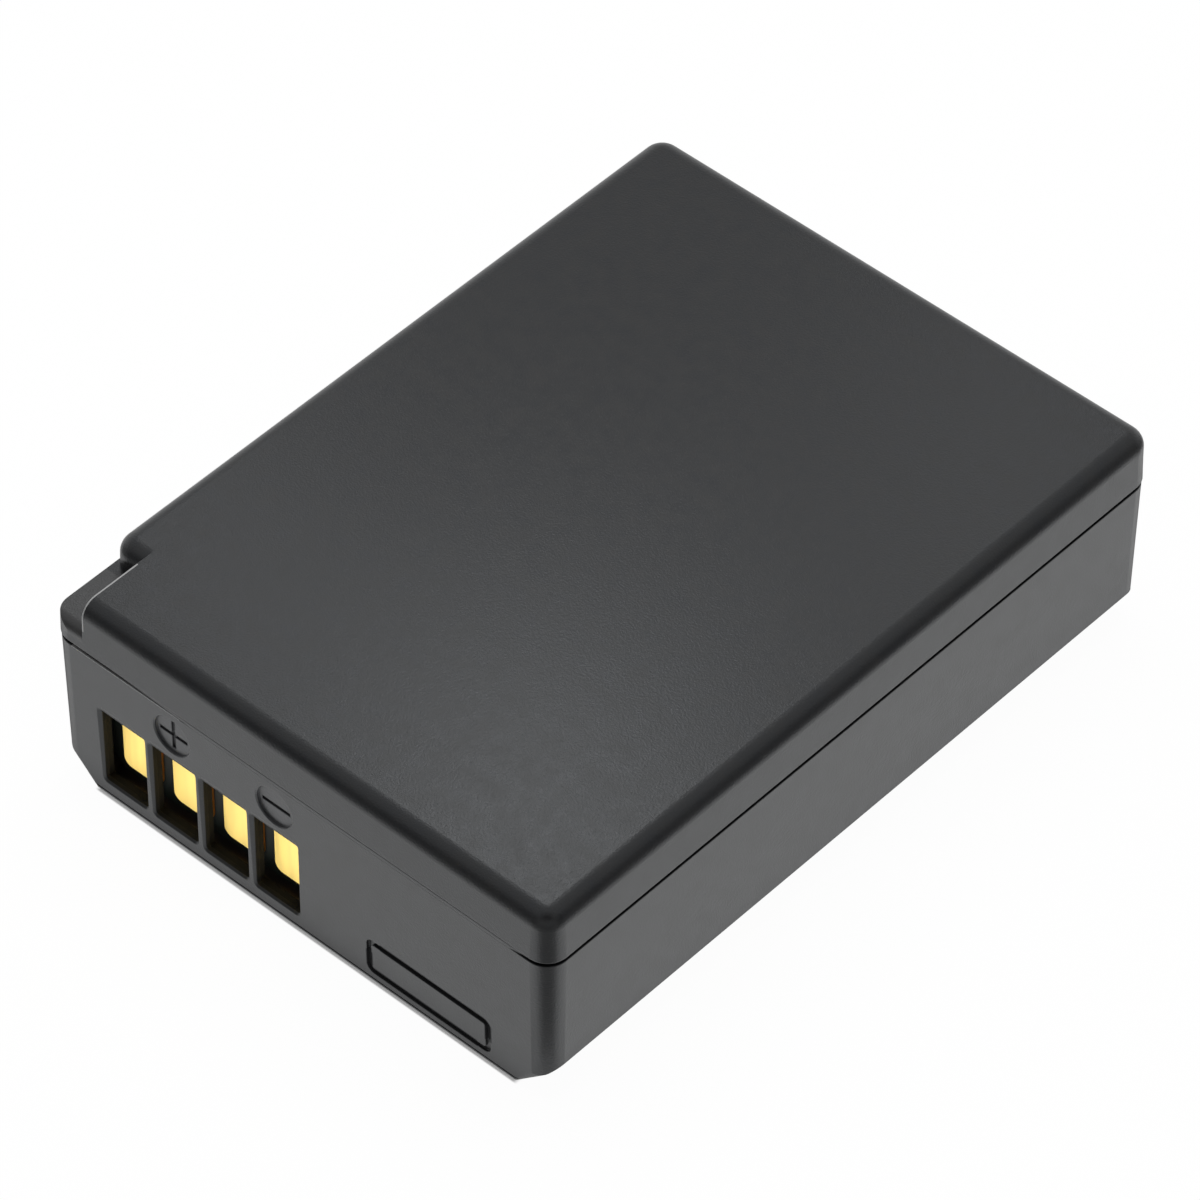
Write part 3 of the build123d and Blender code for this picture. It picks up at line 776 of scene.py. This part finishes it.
from_frame = [
    calculate(tree, "SUBTRACT", value, middle)
    for value, middle in zip((across, up_z), frame_centre)
]
past_sides = [
    calculate(tree, "SUBTRACT", calculate(tree, "ABSOLUTE", value), half - frame_corner)
    for value, half in zip(from_frame, frame_half)
]
outside = [calculate(tree, "MAXIMUM", value, 0.0) for value in past_sides]
inside = calculate(tree, "MINIMUM", calculate(tree, "MAXIMUM", *past_sides), 0.0)
to_outline = calculate(tree, "ADD", distance(tree, *outside), inside)
to_outline = calculate(tree, "ABSOLUTE", calculate(tree, "SUBTRACT", to_outline, frame_corner))
open_corner = product(
    tree,
    calculate(tree, "GREATER_THAN", past_sides[0], frame_corner - frame_open_corner),
    calculate(tree, "GREATER_THAN", past_sides[1], frame_corner - frame_open_corner),
    calculate(tree, "LESS_THAN", product(tree, *from_frame), 0.0),
)
on_frame = product(
    tree,
    ramp(tree, to_outline, *frame_soft),
    calculate(tree, "SUBTRACT", 1.0, open_corner),
    on_front,
)

# The marks get painted light, a paler colour within their discs.
from_marks = calculate(tree, "ABSOLUTE", calculate(tree, "SUBTRACT", across, sum(mark_x) / 2))
mark_r = distance(
    tree,
    calculate(tree, "SUBTRACT", from_marks, (mark_x[1] - mark_x[0]) / 2),
    calculate(tree, "SUBTRACT", up_z, mark_z),
)
front_y = calculate(tree, "MULTIPLY_ADD", up_z, -front_lean, front_foot_y + mark_depth)
in_mark_painted_light = product(
    tree,
    calculate(tree, "LESS_THAN", mark_r, mark_radius),
    calculate(tree, "GREATER_THAN", along, front_y),
    on_front,
)

before_rebate_end = calculate(tree, "LESS_THAN", along, rebate_y)
# Painted highlights along the rebate's top edge and along the seam on the contact end.
on_rebate_highlight = product(
    tree,
    within(tree, across, [rebate_x + edge_x for edge_x in rebate_painted_highlight]),
    before_rebate_end,
    calculate(tree, "GREATER_THAN", up_z, rebate_ledge_z),
)
on_seam_highlight = product(
    tree,
    within(tree, across, seam_highlight_x),
    within(tree, up_z, seam_highlight_z),
    on_front,
    seam_highlight_share,
)
on_painted_highlight = calculate(tree, "MAXIMUM", on_rebate_highlight, on_seam_highlight)
# Painted light: the band below the rebate's ledge top is painted paler.
on_ledge_painted_light = product(
    tree,
    calculate(tree, "LESS_THAN", across, rebate_x - ledge_inset),
    before_rebate_end,
    within(tree, up_z, ledge_z),
)

plastic = colour_between(tree, mottle, *housing_colours)
# Painted light on the ledge and the marks, painted shade in the windows, painted highlights on
# edges.
for mask, colour in (
    (on_ledge_painted_light, ledge_painted_light),
    (in_windows_shade_and_dull, window_painted_shade),
    (in_mark_painted_light, mark_painted_light),
    (on_painted_highlight, edge_painted_highlight),
):
    plastic = colour_between(tree, mask, plastic, colour)
polish = ramp(tree, mottle, *mottle_spread, *housing_roughness)
dull = calculate(tree, "MAXIMUM", in_windows_shade_and_dull, on_frame)
set_inputs(
    shader,
    Base_Color=plastic,
    Roughness=choose(tree, dull, polish, dull_roughness),
    Specular_Tint=gloss_tint,
)
edges = add_node(tree, "ShaderNodeBevel", samples=edge_samples, Radius=broken_edge)
grain = cloud(tree, place, *housing_grain)
relief(tree, shader, grain, *housing_relief, rounded=edges.outputs[0])
dress(("lower_case", "upper_cover"), housing)

# Seam weld: the bead of molten plastic that the welding pressed out into the groove on the contact
# end. It fills the groove in the middle and sinks back towards the two corners.
bead_x = (-15.7 * mm, 16.75 * mm)
bead_z = (10.72 * mm, 10.985 * mm)
bead_back_y = -23.98 * mm
bead_front_y = -24.478 * mm
bead_sunk_y = -24.37 * mm
bead_rise_left = (-15.7 * mm, -6.5 * mm)
bead_rise_right = (16.75 * mm, 15.2 * mm)
bead_steps = 70
bead_lip = {"offset": 0.05 * mm, "segments": 2, "profile": 0.5}
lip_reach = 0.01 * mm


def smooth_share(value, low, high):
    """0 at low, 1 at high and a smooth rise between."""
    share = min(max((value - low) / (high - low), 0.0), 1.0)
    return share * share * (3 - 2 * share)


def on_lip(point):
    """Whether a point lies on the front edge of the bead's top."""
    return point.co.z > bead_z[1] - lip_reach and point.co.y < bead_sunk_y + lip_reach


bead_form = bmesh.new()
bmesh.ops.create_grid(bead_form, x_segments=bead_steps, y_segments=1, size=1.0)
bead_half = ((bead_x[1] - bead_x[0]) / 2, (bead_back_y - bead_front_y) / 2, 1)
bead_middle = (sum(bead_x) / 2, (bead_back_y + bead_front_y) / 2, bead_z[0])
bmesh.ops.scale(bead_form, verts=bead_form.verts, vec=bead_half)
bmesh.ops.translate(bead_form, verts=bead_form.verts, vec=bead_middle)
raised = bmesh.ops.extrude_face_region(bead_form, geom=bead_form.faces)
top_points = [item for item in raised["geom"] if isinstance(item, bmesh.types.BMVert)]
bmesh.ops.translate(bead_form, verts=top_points, vec=(0, 0, bead_z[1] - bead_z[0]))
bmesh.ops.recalc_face_normals(bead_form, faces=bead_form.faces)
for point in bead_form.verts:
    if point.co.y < bead_middle[1]:
        rise_left = smooth_share(point.co.x, *bead_rise_left)
        rise_right = smooth_share(point.co.x, *bead_rise_right)
        full = min(rise_left, rise_right)
        point.co.y = bead_sunk_y + (bead_front_y - bead_sunk_y) * full
lip_edges = [edge for edge in bead_form.edges if all(on_lip(point) for point in edge.verts)]
bmesh.ops.bevel(bead_form, geom=lip_edges, affect="EDGES", material=-1, **bead_lip)
bead = add_piece("seam_weld", bead_form, housing)
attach(bead, "root")
